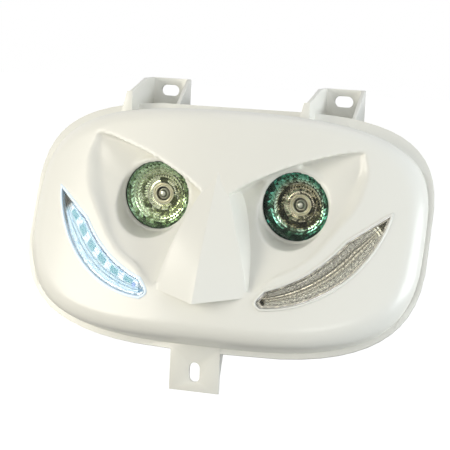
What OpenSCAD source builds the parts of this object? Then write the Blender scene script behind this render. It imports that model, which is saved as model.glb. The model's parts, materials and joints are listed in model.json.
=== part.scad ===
// Twin-lamp headlight mask for a scooter or small motorcycle.
// Seen from the front: +X is to the right, the face looks along -Y and +Z is up.
// The origin lies midway between the two top mounting slots, on the front of their plates.

/* [Face] */
// Width of the mask over its rear flange
face_w = 298; // [290:1:310]
// Reach of the flange above the middle of the face, along the lean
flange_top = 89; // [86:1:94]
// Reach of the flange below the middle of the face, along the lean
flange_bottom = 92; // [89:1:98]
// Lean of the face, its top further back
face_lean = 20; // [16:1:23]
// Middle of the face behind the top slots, a negative value is forward
face_y = -64.1; // [-70:0.5:-60]
// Middle of the face below the top slots
face_z = -88.7; // [-92:0.5:-86]
// Squareness of the upper corners, 2 is an ellipse
upper_power = 3.6; // [3:0.1:4.5]
// Squareness of the lower corners, 2 is an ellipse
lower_power = 3.1; // [2.8:0.1:4]
// Height of the dome over the flange plane
crown_h = 29; // [26:0.5:32]
// Radius of the dome across the face
dome_r = 410; // [395:5:450]
// Rounding of the dome's edge
edge_r = 12; // [8:0.5:14]
// Wall of the moulding
wall = 3; // [2.4:0.1:3.5]

/* [Flange] */
// Width of the flange beside the dome
flange_side = 3; // [2.5:0.5:5]
// Width of the flange above the dome
flange_over = 10; // [8:0.5:12]
// Width of the flange under the dome
flange_under = 4; // [3:0.5:6]
// Thickness of the flange
flange_t = 2.5; // [2:0.1:3]
// Depth of the flange's back behind the flange plane
rim_d = 7.5; // [6:0.5:9]
// Height of the stiffening step between the brackets
ledge_h = 7; // [5:0.5:9]
// Width of the stiffening step above the dome
ledge_w = 6; // [4:0.5:8]

/* [Eyes] */
// Distance of each lamp axis from the middle
lamp_x = 52; // [50:0.5:54]
// Lamp faces in front of the top slots, a negative value is forward
lamp_y = -62; // [-64:0.5:-60]
// Lamp axes below the top slots
lamp_z = -72.2; // [-74:0.5:-70]
// Depth of the eye floor in front of the lamp face, on the lamp axis
floor_d = 5.2; // [4:0.2:7]
// Slope of the eye floor, mean of its upper and lower part
floor_slope = 0.5; // [0.45:0.01:0.55]
// Change of that slope, up or down from the lamp axis
floor_bend = 0.25; // [0.2:0.01:0.3]
// Slope of the eye floor towards the outside of the face
floor_fall = 0.1; // [0.05:0.01:0.14]
// Rise of the brow at its middle over a straight line
brow_rise = 5.5; // [3:0.5:7]

/* [Nose] */
// Half width of the nose at its lower corners
nose_half_w = 34.5; // [32:0.5:36]
// Height of the nose ridge over the flange plane at its tip
nose_tip_h = 41.7; // [38:0.5:44]
// Height of the lower nose corners over the flange plane
nose_corner_h = 26.5; // [25:0.5:28]
// Reach of the nose tip below the middle of the face
nose_tip_v = 66.5; // [64:0.5:69]
// Reach of the nose apex above the middle of the face
nose_apex_v = 31; // [27:0.5:33]

/* [Lamps] */
// Diameter of the lamp over its rim
lamp_d = 50.6; // [49:0.1:51]
// Running room between a lamp part and what holds it
lamp_gap = 0.3; // [0.2:0.05:0.5]
// Depth of the lamp's reflector bowl
bowl_d = 22; // [20:0.5:24]
// Radius of the reflector's neck
neck_r = 8; // [7:0.2:9]
// Wall of the reflector
bowl_wall = 1.4; // [1.1:0.1:1.8]
// Width of the plain rim round the reflector bowl
rim_w = 3; // [2.5:0.1:3.5]
// Depth of that rim
rim_t = 2.2; // [1.8:0.1:2.6]
// Facets round the reflector
facets = 30; // [24:2:36]
// Thickness of the lamp's front glass
glass_t = 1.3; // [1:0.1:1.6]
// Wall of the lamp tube
tube_wall = 2.6; // [2.2:0.1:3]
// Length of the lamp tube behind its shoulder
tube_len = 20; // [18:0.5:23]
// Thickness of the shoulder that the lamp seats on
shoulder_t = 2; // [1.6:0.1:2.4]
// Width of the shoulder inside the tube
shoulder_w = 1.5; // [1.2:0.1:1.8]
// Widening of the tube mouth for each millimetre forward
mouth_flare = 0.11; // [0.08:0.01:0.13]
// Thickness of the sealing ring
gasket_t = 1.2; // [1:0.1:1.6]
// Distance between the lamp's two contact pins
pin_gap = 5.3; // [5:0.1:6]
// Diameter of a contact pin
pin_d = 1.5; // [1.3:0.1:1.7]
// Length of a contact pin out of the lamp base
pin_len = 7; // [6:0.5:8]

/* [Lamp retainers] */
// Thickness of the retainer plate
retainer_t = 2.5; // [2:0.1:3]
// Distance of the retainer screws from the lamp axis
retainer_screw_r = 33; // [32.5:0.5:34]
// Radius of a screw boss or ear
boss_r = 3.6; // [3.4:0.1:4]
// Screw shank diameter
screw_d = 2.9; // [2.6:0.1:3.2]
// Screw head diameter
screw_head_d = 5.8; // [5.4:0.1:6.2]
// Screw length under the head
screw_len = 9; // [8:0.5:10]

/* [Cheek lights] */
// Upper tip of a cheek light, across the face
led_tip_x = 122.5; // [121:0.5:125]
// Upper tip of a cheek light, above the lamp axes
led_tip_z = 0; // [-2:0.5:2]
// Lower end of a cheek light, across the face
led_end_x = 44.5; // [43:0.5:47]
// Lower end of a cheek light, below the lamp axes
led_end_z = 65.5; // [65:0.5:68]
// Width of the lower end
led_end_w = 11; // [9:0.5:13]
// Length of the straight part of the inner edge
led_straight = 31.5; // [26:0.5:36]
// Bow of the outer edge
led_outer_bow = 18; // [16:0.5:20]
// Bow of the rest of the inner edge
led_inner_bow = 5; // [4:0.5:7]
// Thickness of the clear lens
lens_t = 2.2; // [1.8:0.1:2.6]
// Room round the lens in its window
lens_gap = 0.3; // [0.2:0.05:0.5]
// Width of the raised lip round the window
lip_w = 1.6; // [1.2:0.1:2]
// Height of that lip over the face
lip_h = 0.8; // [0.5:0.1:1.2]
// Depth of the light tray under the lens
tray_d = 9; // [7:0.5:10]
// Wall of the light tray
tray_wall = 1.2; // [1:0.1:1.5]
// Thickness of the diode board
board_t = 1; // [0.8:0.1:1.2]
// Number of diodes in a cheek light
led_count = 7; // [5:1:9]
// Diameter of a diode
led_d = 4.8; // [4:0.1:5]

/* [Top brackets] */
// Distance between the middles of the two slots
slot_span = 134.4; // [130:0.2:138]
// Length of a slot from end to end
slot_len = 14; // [12:0.5:16]
// Width of a slot
slot_w = 8; // [6.5:0.1:8.5]
// Width of a bracket plate
plate_w = 31; // [29:0.5:34]
// Height of the plate's top edge over the slots
plate_top = 9; // [8:0.5:12]
// Reach of the plate below the slots
plate_low = 20; // [17:0.5:22]
// Thickness of the plates and their side walls
plate_t = 2.6; // [2.2:0.1:3]
// Reach of the long side wall in front of the plate
side_reach = 45; // [40:0.5:47]
// Width of the lip on the long side wall's front edge, at its foot
side_lip = 6; // [4:0.5:8]

/* [Bottom tab] */
// Middle of the tab across the face
tab_x = -7.5; // [-9:0.5:-5]
// Width of the tab
tab_w = 37; // [34:0.5:40]
// Lower end of the tab below the top slots
tab_end = 206; // [202:0.5:210]
// Width of the tab's slot
tab_slot_w = 8; // [6:0.1:8.5]
// Length of the tab's slot from end to end
tab_slot_len = 14; // [12:0.5:16]
// Middle of the tab's slot below the top slots
tab_slot_z = 192; // [190.5:0.5:193]

/* [Hidden] */
sides = 60;            // points round the face outline
eps = 0.01;
ceramic = [0.85, 0.83, 0.78];
clear = [0.8, 0.85, 0.9, 0.4];
shell_white = [0.93, 0.93, 0.89];
tray_silver = [0.75, 0.76, 0.78];

// Face frame: x across, v up the lean, w out of the face
module on_face() translate([0, face_y, face_z]) rotate([90 - face_lean, 0, 0]) children();
// [y, z] of a place given by v and w
function face_yz(v, w) = [
  face_y + v * sin(face_lean) - w * cos(face_lean),
  face_z + v * cos(face_lean) + w * sin(face_lean)
];
// [x, v, w] of a place given by x, y and z
function to_face(p) = let (y = p[1] - face_y, z = p[2] - face_z) [
  p[0], y * sin(face_lean) + z * cos(face_lean), z * sin(face_lean) - y * cos(face_lean)
];

// Dome and outline of the face
function dome_h(x) = crown_h - dome_r + sqrt(dome_r * dome_r - x * x);
function dome_y(x, z) =
  face_y + ((z - face_z) * sin(face_lean) - dome_h(x)) / cos(face_lean);
function power(a, p) = sign(a) * pow(abs(a), p);
function outline(half_w, top, bottom) = [
  for (i = [0 : sides - 1])
    let (t = 360 * i / sides, p = sin(t) >= 0 ? upper_power : lower_power)
    [half_w * power(cos(t), 2 / p), (sin(t) >= 0 ? top : bottom) * power(sin(t), 2 / p)]
];
dome_half = face_w / 2 - flange_side;
dome_top = flange_top - flange_over;
dome_bottom = flange_bottom - flange_under;
// Height of the outline at x, above the middle of the face
function top_at(x) = dome_top * pow(1 - pow(abs(x) / dome_half, upper_power), 1 / upper_power);

// Solid between closed rings that have as many points each, with flat ends
module skin(rings) {
  n = len(rings[0]);
  m = len(rings);
  polyhedron(
    points = [for (r = rings) each r],
    faces = [
      [for (i = [0 : n - 1]) i],
      for (k = [0 : m - 2], i = [0 : n - 1]) each [
        [k * n + i, (k + 1) * n + (i + 1) % n, k * n + (i + 1) % n],
        [k * n + i, (k + 1) * n + i, (k + 1) * n + (i + 1) % n]
      ],
      [for (i = [0 : n - 1]) (m - 1) * n + n - 1 - i]
    ]
  );
}

// Ring of the dome's surface: inset from the outline, lowered by the rounded edge
function dome_ring(inset, shrink, base, radius, scaled = 1) = [
  for (p = outline(dome_half - shrink - inset, dome_top - shrink - inset, dome_bottom - shrink - inset))
    let (
      x = p[0] * scaled,
      r = min(radius, dome_h(x) - shrink - base - 0.6),
      d = min(1, inset / radius),
      drop = r * (1 - sqrt(1 - pow(1 - d, 2)))
    )
    [x, p[1] * scaled, dome_h(x) - shrink - drop]
];
edge_steps = [0, 0.08, 0.28, 0.58, 1];
field_steps = [0.82, 0.62, 0.4, 0.15];
// Dome solid in the face frame, made smaller all round by shrink, down to base
module dome_solid(shrink, base) {
  radius = edge_r - shrink;
  skin([
    [for (p = outline(dome_half - shrink, dome_top - shrink, dome_bottom - shrink)) [p[0], p[1], base]],
    for (s = edge_steps) dome_ring(s * radius, shrink, base, radius),
    for (s = field_steps) dome_ring(radius, shrink, base, radius, s)
  ]);
}

// Eye recess, given as [x, height over the lamp axis, run of the side wall]
brow_in = [10, 7.5];
brow_tip = [101, 42.7];
// Point of an arc through a and b that bows by rise, at the share t of its length
function bow(a, b, rise, t) = let (
  c = norm(b - a), r = (c * c / 4 + rise * rise) / (2 * rise), half = asin(c / 2 / r),
  n = [b[1] - a[1], a[0] - b[0]] / c, o = (a + b) / 2 + n * (r - rise), g = half * (2 * t - 1)
) o - n * r * cos(g) + (b - a) / c * r * sin(g);
eye_rim = concat(
  [for (i = [0 : 8]) let (p = bow(brow_in, brow_tip, brow_rise, i / 8)) [p[0], p[1], 0]],
  [[107, 33, 9], [108, 22, 8], [105, 10, 7], [99, 0, 6], [92, -9, 5], [83.5, -20, 4],
   [75, -30, 4], [64, -39, 3], [50, -46.5, 3], [36, -57, 1], [24, -44, 0], [15, -15, 0]]
);
eye_middle = [52, -4];
// Floor of the recess: y at x and at the height h over the lamp axis
function floor_y(x, h) =
  lamp_y - floor_d + floor_slope * h - floor_bend * (norm([h, 12]) - 12) - floor_fall * (x - lamp_x);
// Ring of the recess: moved towards its middle by its run, or outwards by grow
function eye_ring(grow, share, depth) = [
  for (q = eye_rim) let (
    p = [q[0], q[1]], d = eye_middle - p, m = p - d / norm(d) * grow + d / norm(d) * q[2] * share,
    surface = dome_y(p[0], p[1] + lamp_z), deep = max(floor_y(m[0], m[1]), surface + 0.3)
  )
  [m[0], depth == 0 ? surface - 40 : depth == 1 ? surface - 0.5 : deep + grow, m[1] + lamp_z]
];
function ring_in(ring, c, s) = [
  for (p = ring) let (x = c[0] + (p[0] - c[0]) * s, h = c[1] + (p[2] - lamp_z - c[1]) * s)
  [x, h, 0]
];
module eye_space(grow) {
  floor_ring = eye_ring(grow, 1, 2);
  inner = [
    for (s = [0.6, 0.25]) [
      for (p = ring_in(floor_ring, eye_middle, s)) [p[0], floor_y(p[0], p[1]) + grow, p[1] + lamp_z]
    ]
  ];
  skin([eye_ring(grow, 0, 0), eye_ring(grow, 0, 1), floor_ring, inner[0], inner[1]]);
}

// Nose: stations given as [v, ridge height, half width, edge height]
function nose_stations(thin) = [
  [nose_apex_v - thin, crown_h - thin + 0.1, 0.6, crown_h - thin - 0.4],
  [16, 31 - thin * 1.2, 10 - thin * 0.8, 28.6 - thin],
  [-11, 36 - thin * 1.2, 20.5 - thin, 31.5 - thin],
  [-35, 39.5 - thin * 1.2, 28.5 - thin, 30 - thin],
  [-nose_tip_v + thin * 1.4, nose_tip_h - thin * 1.5, nose_half_w - thin, nose_corner_h - thin]
];
corner_up = 11;        // rise of the lower corners over the tip, along the lean
side_draft = 0.25;     // widening of the nose towards its root
module nose_solid(thin) {
  st = nose_stations(thin);
  last = len(st) - 1;
  root = -rim_d + 3;
  skin([
    for (k = [0 : last]) let (
      s = st[k], up = k == last ? corner_up - thin * 0.6 : 0, b = s[2] + (s[3] - root) * side_draft
    )
    [[b, s[0] + up, root], [s[2], s[0] + up, s[3]], [0, s[0], s[1]], [-s[2], s[0] + up, s[3]], [-b, s[0] + up, root]]
  ]);
}

// Outline of a cheek light in x and height over the lamp axes, moved outwards by grow
led_tip = [led_tip_x, led_tip_z];
led_end = [led_end_x, -led_end_z];
led_inner_end = led_end + led_end_w * [0.18, 0.984];
led_blunt = led_end + [-3.5, 3.5];
led_bend = led_tip - led_straight * [0.81, 0.587];
// Point of the inner edge at the share t of its way from the tip
function led_inner(t) = t < 1 / 3 ? led_tip + (led_bend - led_tip) * t * 3
  : bow(led_bend, led_inner_end, led_inner_bow, (t - 1 / 3) * 1.5);
module led_outline(grow) offset(r = grow, $fn = 24) polygon(concat(
  [for (i = [0 : 10]) bow(led_end, led_tip, -led_outer_bow, i / 10)],
  [for (i = [3 : 9]) led_inner(i / 9)], [led_blunt]
));
// The cheek light's outline as a bar along y
module led_bar(grow, front, back)
  translate([0, back, lamp_z]) rotate([90, 0, 0]) linear_extrude(back - front) led_outline(grow);
bar_front = lamp_y - 60;
bar_back = lamp_y + 20;
module led_prism(grow) led_bar(grow, bar_front, bar_back);

// Slice of the dome between two depths under its surface
module dome_slice(top, bottom) on_face() translate([0, 0, crown_h - dome_r]) rotate([90, 0, 0]) difference() {
  cylinder(r = dome_r - top, h = 2 * face_w, center = true, $fn = 240);
  cylinder(r = dome_r - bottom, h = 3 * face_w, center = true, $fn = 240);
}

// A part of the right side, or the same mirrored to the left
module at_side(side) if (side > 0) children(); else mirror([1, 0, 0]) children();
// Lamp frame: z runs back along the lamp axis from the lamp's seat
module at_lamp(side, back = 0) translate([side * lamp_x, lamp_y + back, lamp_z]) rotate([-90, 0, 0]) children();

bore_r = lamp_d / 2 + lamp_gap;
tube_r = bore_r + tube_wall;
boss_turns = [30, 150, 270];
lamp_seat = shoulder_t + gasket_t;
retainer_y = shoulder_t + tube_len;

// Freeform skin of the mask: the domed face with its eyes, nose and light windows
module face_skin() difference() {
  union() {
    difference() {
      on_face() dome_solid(0, -rim_d);
      for (s = [-1, 1]) at_side(s) eye_space(0);
    }
    on_face() nose_solid(0);
    for (s = [-1, 1]) at_side(s) intersection() {
      led_prism(lens_gap + lip_w);
      dome_slice(-lip_h, wall);
    }
  }
  difference() {
    on_face() dome_solid(wall, -rim_d - 1);
    for (s = [-1, 1]) at_side(s) eye_space(wall);
    for (s = [-1, 1]) lamp_mouth(s, tube_wall);
  }
  on_face() nose_solid(wall);
  for (s = [-1, 1]) at_side(s) led_prism(lens_gap);
}

module flange() on_face() translate([0, 0, -rim_d]) linear_extrude(flange_t) difference() {
  polygon(outline(face_w / 2, flange_top, flange_bottom));
  polygon(outline(dome_half - wall / 2, dome_top - wall / 2, dome_bottom - wall / 2));
}

// Stiffening step on the flange between the two brackets
module ledge() {
  left = -slot_span / 2 + plate_w / 2;
  right = slot_span / 2 - plate_w / 2;
  on_face() translate([left, dome_top - 1, -rim_d]) cube([right - left, ledge_w + 1, ledge_h]);
}

// Slotted plate with a long side wall on its left and a short one on its right
module bracket(x) {
  left = x - plate_w / 2;
  right = x + plate_w / 2;
  foot_v = top_at(max(abs(left), abs(right))) - wall / 2;
  front_foot = face_yz(foot_v, (side_reach + face_y + foot_v * sin(face_lean)) / cos(face_lean));
  back_foot = face_yz(foot_v, -rim_d);
  difference() {
    union() {
      translate([left, 0, -plate_low]) cube([plate_w, plate_t, plate_low + plate_top]);
      translate([left, 0, 0]) side_wall([
        [plate_t, plate_top], [-side_reach / 3, plate_top], [-side_reach, 0.5], front_foot,
        back_foot, [plate_t, -plate_low]
      ]);
      translate([right - plate_t, 0, 0]) side_wall([
        [plate_t, plate_top], [0, plate_top], [back_foot[0] - 2, back_foot[1] + 3], back_foot,
        [plate_t, -plate_low]
      ]);
      translate([left, plate_t - side_reach, 0]) rotate([90, 0, 0]) linear_extrude(plate_t)
        polygon([[-side_lip, front_foot[1]], [plate_t, front_foot[1]], [plate_t, 0.5], [-side_lip / 3, 0.5]]);
    }
    translate([x, -1, 0]) slot(slot_len, slot_w, plate_t + 2);
  }
}
module side_wall(profile) rotate([90, 0, 90]) linear_extrude(plate_t) polygon(profile);
// Slot that runs across, cut back through depth
module slot(length, width, depth) {
  reach = (length - width) / 2;
  for (s = [-1, 1]) translate([s * reach, 0, 0]) rotate([-90, 0, 0]) cylinder(d = width, h = depth, $fn = 48);
  translate([-reach, 0, -width / 2]) cube([2 * reach, depth, width]);
}

// Bottom tab with an upright slot and a rib along each side
module tab() {
  foot = face_yz(-flange_bottom + 5, -rim_d + 1);
  tab_y = face_yz(-flange_bottom, -rim_d + flange_t)[0];
  difference() {
    translate([tab_x - tab_w / 2, tab_y, -tab_end]) cube([tab_w, plate_t, tab_end + foot[1]]);
    translate([tab_x, tab_y - 1, -tab_slot_z]) rotate([0, 90, 0]) slot(tab_slot_len, tab_slot_w, plate_t + 2);
  }
  for (s = [-1, 1]) translate([tab_x + s * (tab_w / 2 - plate_t / 2) - plate_t / 2, tab_y, -tab_end + 12])
    rotate([90, 0, 90]) linear_extrude(plate_t)
      polygon([[0, 0], [plate_t, 0], [9, tab_end - 12 + foot[1] - 2], [0, tab_end - 12 + foot[1]]]);
}

// Lamp tube with its flared mouth, shoulder and screw bosses
module lamp_tube(side) {
  difference() {
    union() {
      at_lamp(side) cylinder(r = tube_r, h = shoulder_t + tube_len, $fn = 96);
      for (a = boss_turns) at_lamp(side, shoulder_t + tube_len - screw_len - 3) rotate([0, 0, a]) hull_boss();
    }
    lamp_hole(side);
    for (a = boss_turns) at_lamp(side, shoulder_t + tube_len - screw_len - 1)
      rotate([0, 0, a]) translate([retainer_screw_r, 0, 0]) cylinder(d = screw_d - 0.4, h = screw_len + 2, $fn = 24);
  }
}
module hull_boss() {
  length = screw_len + 3;
  translate([retainer_screw_r, 0, 0]) cylinder(r = boss_r, h = length, $fn = 32);
  translate([tube_r - 1, -boss_r, 0]) cube([retainer_screw_r - tube_r + 1, 2 * boss_r, length]);
}
// Flared mouth of the tube, in front of its shoulder
module lamp_mouth(side, grow) at_lamp(side, -mouth_len)
  cylinder(r1 = bore_r + mouth_flare * mouth_len + grow, r2 = bore_r + grow, h = mouth_len, $fn = 96);
mouth_len = 36;
module lamp_hole(side) {
  lamp_mouth(side, 0);
  at_lamp(side, -eps) cylinder(r = bore_r - shoulder_w, h = shoulder_t + 1, $fn = 96);
  at_lamp(side, shoulder_t) cylinder(r = bore_r, h = tube_len + 1, $fn = 96);
}

module mask_shell() color(shell_white) {
  difference() {
    union() {
      face_skin();
      flange();
      ledge();
    }
    for (s = [-1, 1]) lamp_hole(s);
  }
  for (s = [-1, 1]) lamp_tube(s);
  for (s = [-1, 1]) bracket(s * slot_span / 2);
  tab();
}

// Sealing ring between the tube's shoulder and the lamp
module lamp_gasket(side) color([0.1, 0.1, 0.1]) at_lamp(side, shoulder_t) difference() {
  cylinder(r = bore_r - 0.1, h = gasket_t, $fn = 96);
  translate([0, 0, -1]) cylinder(r = bore_r - shoulder_w, h = gasket_t + 2, $fn = 96);
}

// Front glass of the lamp
module lamp_glass(side) color(clear) at_lamp(side, lamp_seat)
  cylinder(d = lamp_d - 0.6, h = glass_t, $fn = 96);

// Bowl radius at the depth z behind the glass
function bowl_r(z) = neck_r + (lamp_d / 2 - rim_w - neck_r) * sqrt(1 - z / bowl_d);
bowl_steps = [0, 0.1, 0.22, 0.35, 0.48, 0.61, 0.74, 0.86, 0.94, 1];
// Faceted dichroic bowl with a plain rim and a smooth back
module lamp_reflector(side) color([0.25, 0.5, 0.38]) at_lamp(side, lamp_seat + glass_t) difference() {
  union() {
    cylinder(d = lamp_d, h = rim_t, $fn = 96);
    rotate_extrude($fn = 96) polygon(concat(
      [[0, 0]], [for (s = bowl_steps) [bowl_r(s * bowl_d) + bowl_wall, s * bowl_d + bowl_wall]],
      [[0, bowl_d + bowl_wall]]
    ));
  }
  skin([
    for (k = [-1 : len(bowl_steps) - 1]) let (s = k < 0 ? -0.05 : bowl_steps[k], r = bowl_r(max(0, s) * bowl_d))
    [for (i = [0 : facets - 1]) let (a = 360 * (i + (k % 2) / 2) / facets) [r * cos(a), r * sin(a), s * bowl_d]]
  ]);
  translate([0, 0, bowl_d - 1]) cylinder(r = neck_r - 1, h = bowl_wall + 2, $fn = 48);
}

capsule_r = 4.6;
capsule_back = lamp_seat + glass_t + bowl_d;
// Quartz capsule on the lamp axis
module lamp_capsule(side) color(clear) at_lamp(side, capsule_back - 13) rotate_extrude($fn = 48) polygon([
  [0, 0], [2.2, 0.4], [3.9, 1.8], [capsule_r, 4], [capsule_r, 10], [3.4, 12.4], [2.8, 13.4], [2.8, 18], [0, 18]
]);

neck_back = capsule_back + bowl_wall;
base_len = 12;
// Ceramic foot that closes the reflector's neck
module lamp_base(side) color(ceramic) difference() {
  union() {
    at_lamp(side, neck_back - bowl_wall + 0.6) cylinder(r = neck_r - 1.2, h = 3, $fn = 48);
    at_lamp(side, neck_back + 0.1) cylinder(r = neck_r + 1, h = 3, $fn = 48);
    at_lamp(side, neck_back + 2) translate([-7.5, -4.5, 0]) cube([15, 9, base_len - 2]);
  }
  at_lamp(side, capsule_back - 1) cylinder(r = 3, h = 7, $fn = 32);
  for (s = [-1, 1]) at_lamp(side, neck_back + base_len - 4) translate([s * pin_gap / 2, 0, 0])
    cylinder(d = pin_d, h = 5, $fn = 24);
}

// The two contact pins
module lamp_pins(side) color("silver") for (s = [-1, 1])
  at_lamp(side, neck_back + base_len - 4) translate([s * pin_gap / 2, 0, 0])
    cylinder(d = pin_d, h = pin_len + 4, $fn = 24);

// Ceramic socket pushed over the pins
module lamp_socket(side) color(ceramic) difference() {
  at_lamp(side, neck_back + base_len) translate([-9.5, -5.5, 0]) cube([19, 11, 11]);
  for (s = [-1, 1]) {
    at_lamp(side, neck_back + base_len - 1) translate([s * pin_gap / 2, 0, 0])
      cylinder(d = pin_d + 0.1, h = pin_len + 2, $fn = 24);
    at_lamp(side, neck_back + base_len + 8) translate([s * pin_gap / 2, 0, 0]) cylinder(d = 2.4, h = 4, $fn = 24);
  }
}

// Ring that presses the lamp's rim on its seal, screwed to the tube's bosses
module lamp_retainer(side) color([0.15, 0.15, 0.16]) difference() {
  union() {
    at_lamp(side, lamp_seat + glass_t + rim_t) cylinder(r = bore_r - lamp_gap, h = retainer_y - lamp_seat - glass_t - rim_t + 1, $fn = 96);
    at_lamp(side, retainer_y) cylinder(r = tube_r, h = retainer_t, $fn = 96);
    for (a = boss_turns) at_lamp(side, retainer_y) rotate([0, 0, a]) {
      translate([retainer_screw_r, 0, 0]) cylinder(r = boss_r, h = retainer_t, $fn = 32);
      translate([tube_r - 1, -boss_r, 0]) cube([retainer_screw_r - tube_r + 1, 2 * boss_r, retainer_t]);
    }
  }
  at_lamp(side, 0) cylinder(r = bore_r - lamp_gap - 1.2, h = retainer_y + retainer_t + 1, $fn = 96);
  for (a = boss_turns) at_lamp(side, retainer_y - 1) rotate([0, 0, a]) translate([retainer_screw_r, 0, 0])
    cylinder(d = screw_d + 0.4, h = retainer_t + 2, $fn = 24);
}

module retainer_screws() color("silver") for (side = [-1, 1], a = boss_turns)
  at_lamp(side, retainer_y + retainer_t) rotate([0, 0, a]) translate([retainer_screw_r, 0, 0]) difference() {
    union() {
      translate([0, 0, -screw_len]) cylinder(d = screw_d - 0.4, h = screw_len + 1, $fn = 24);
      cylinder(d = screw_head_d, h = 2, $fn = 32);
    }
    for (r = [0, 90]) rotate([0, 0, r]) translate([-1.9, -0.4, 1]) cube([3.8, 0.8, 2]);
  }

// Clear lens that fills the window flush with the face
module led_lens(side) color(clear) at_side(side) intersection() {
  led_prism(0);
  dome_slice(0, lens_t);
}

tray_floor = lens_t + tray_d;
// Metallised tray: a trough under the lens
module led_tray(side) color(tray_silver) at_side(side) difference() {
  intersection() {
    led_prism(0);
    dome_slice(lens_t + 0.1, tray_floor);
  }
  intersection() {
    led_prism(-tray_wall);
    dome_slice(-1, tray_floor - tray_wall);
  }
}

// Diode board on the tray's floor
module led_board(side) color([0.85, 0.87, 0.9]) at_side(side) intersection() {
  led_prism(-tray_wall - 1.5);
  dome_slice(tray_floor - tray_wall - board_t, tray_floor - tray_wall - 0.05);
}

// Middle line of a cheek light
function led_path(t) =
  (led_inner(t) + bow(led_end, led_tip, -led_outer_bow, 1 - t)) / 2;
module leds(side) color("white") at_side(side) for (i = [0 : led_count - 1]) {
  p = led_path(0.2 + 0.7 * i / (led_count - 1));
  f = to_face([p[0], dome_y(p[0], p[1] + lamp_z), p[1] + lamp_z]);
  on_face() translate([f[0], f[1], f[2] - tray_floor + tray_wall + board_t + 0.3]) {
    cylinder(d = led_d, h = 2, $fn = 24);
    translate([0, 0, 2]) sphere(d = led_d - 0.6, $fn = 24);
  }
}

mask_shell();
lamp_gasket(-1);  // left_lamp_gasket
lamp_gasket(1);  // right_lamp_gasket
lamp_glass(-1);  // left_lamp_glass
lamp_glass(1);  // right_lamp_glass
lamp_reflector(-1);  // left_lamp_reflector
lamp_reflector(1);  // right_lamp_reflector
lamp_capsule(-1);  // left_lamp_capsule
lamp_capsule(1);  // right_lamp_capsule
lamp_base(-1);  // left_lamp_base
lamp_base(1);  // right_lamp_base
lamp_pins(-1);  // left_lamp_pins
lamp_pins(1);  // right_lamp_pins
lamp_socket(-1);  // left_lamp_socket
lamp_socket(1);  // right_lamp_socket
lamp_retainer(-1);  // left_lamp_retainer
lamp_retainer(1);  // right_lamp_retainer
retainer_screws();
led_lens(-1);  // left_led_lens
led_lens(1);  // right_led_lens
led_tray(-1);  // left_led_tray
led_tray(1);  // right_led_tray
led_board(-1);  // left_led_board
led_board(1);  // right_led_board
leds(-1);  // left_leds
leds(1);  // right_leds
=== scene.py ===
# %% [markdown]
# This lesson dresses the measured construction of a headlight mask so that it looks like the real
# moulding.

# %% Load the measured construction
import json
import math

import bmesh
import bpy
from mathutils import Matrix, Vector


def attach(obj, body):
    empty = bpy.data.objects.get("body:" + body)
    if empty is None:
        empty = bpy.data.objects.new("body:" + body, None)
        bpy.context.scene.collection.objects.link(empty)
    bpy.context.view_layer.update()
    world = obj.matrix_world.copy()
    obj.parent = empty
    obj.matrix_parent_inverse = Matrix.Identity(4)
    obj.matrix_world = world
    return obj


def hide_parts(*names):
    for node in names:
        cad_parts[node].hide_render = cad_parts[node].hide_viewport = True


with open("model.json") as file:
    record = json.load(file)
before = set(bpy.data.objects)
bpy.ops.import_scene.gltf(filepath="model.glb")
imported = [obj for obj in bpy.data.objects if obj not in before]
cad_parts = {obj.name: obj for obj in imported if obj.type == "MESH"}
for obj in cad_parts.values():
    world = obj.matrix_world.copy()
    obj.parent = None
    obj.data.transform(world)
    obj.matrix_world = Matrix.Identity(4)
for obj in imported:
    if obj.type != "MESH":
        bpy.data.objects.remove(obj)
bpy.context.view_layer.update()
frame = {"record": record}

cad_nodes = [row["node"] for row in frame["record"]["subparts"]]

# %% [markdown]
# The camera comes next. The photograph was taken from a little to the right and above, slightly
# rolled, with a long lens. The camera's own axes are right, up and back.

# %% Camera
azimuth, elevation, roll = math.radians(17.95), math.radians(7.62), math.radians(2.71)
flat = math.cos(elevation)
back = Vector((math.sin(azimuth) * flat, -math.cos(azimuth) * flat, math.sin(elevation)))
level = Vector((math.cos(azimuth), math.sin(azimuth), 0))
rise = back.cross(level)
right = level * math.cos(roll) + rise * math.sin(roll)
up = rise * math.cos(roll) - level * math.sin(roll)
lens = bpy.data.cameras.new("photo_camera")
lens.lens = 145.98
lens.sensor_width = 36
camera = bpy.data.objects.new("photo_camera", lens)
bpy.context.scene.collection.objects.link(camera)
camera.matrix_world = Matrix((right, up, back)).transposed().to_4x4()
camera.location = (0.3986, -1.2896, 0.0834)
bpy.context.scene.camera = camera
print("camera looks from", [round(v, 3) for v in camera.location])

# %% [markdown]
# The mask is drawn in a face frame that leans back: x across, v up the lean, w out of the face.
# The dome's height and outline come from a few named sizes, in metres. The outline is a squared-off
# oval, whose power says how square its corners are.

# %% Sizes of the moulding
sides = {-1: "left_", 1: "right_"}
lean = math.radians(20)
face_y, face_z = -0.0641, -0.0887
half_w, top_v, bottom_v = 0.146, 0.079, 0.088
upper_power, lower_power = 3.6, 3.1
crown_h, dome_r, edge_r, wall, rim_d = 0.029, 0.41, 0.012, 0.003, 0.0075
lamp_x, lamp_y, lamp_z = 0.052, -0.062, -0.0722
bore_r, tube_wall, tube_back = 0.0256, 0.0026, 0.022
mouth_d, mouth_flare = 0.036, 0.11
flare_r, tube_r = bore_r + mouth_flare * mouth_d, bore_r + tube_wall


def on_face(x, v, w):
    """Point of the leaning face frame, in the object's frame."""
    y = face_y + v * math.sin(lean) - w * math.cos(lean)
    return Vector((x, y, face_z + v * math.cos(lean) + w * math.sin(lean)))


def dome_h(x):
    """Height of the dome over the face frame, at x across."""
    return crown_h - dome_r + math.sqrt(dome_r**2 - x * x)


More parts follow.
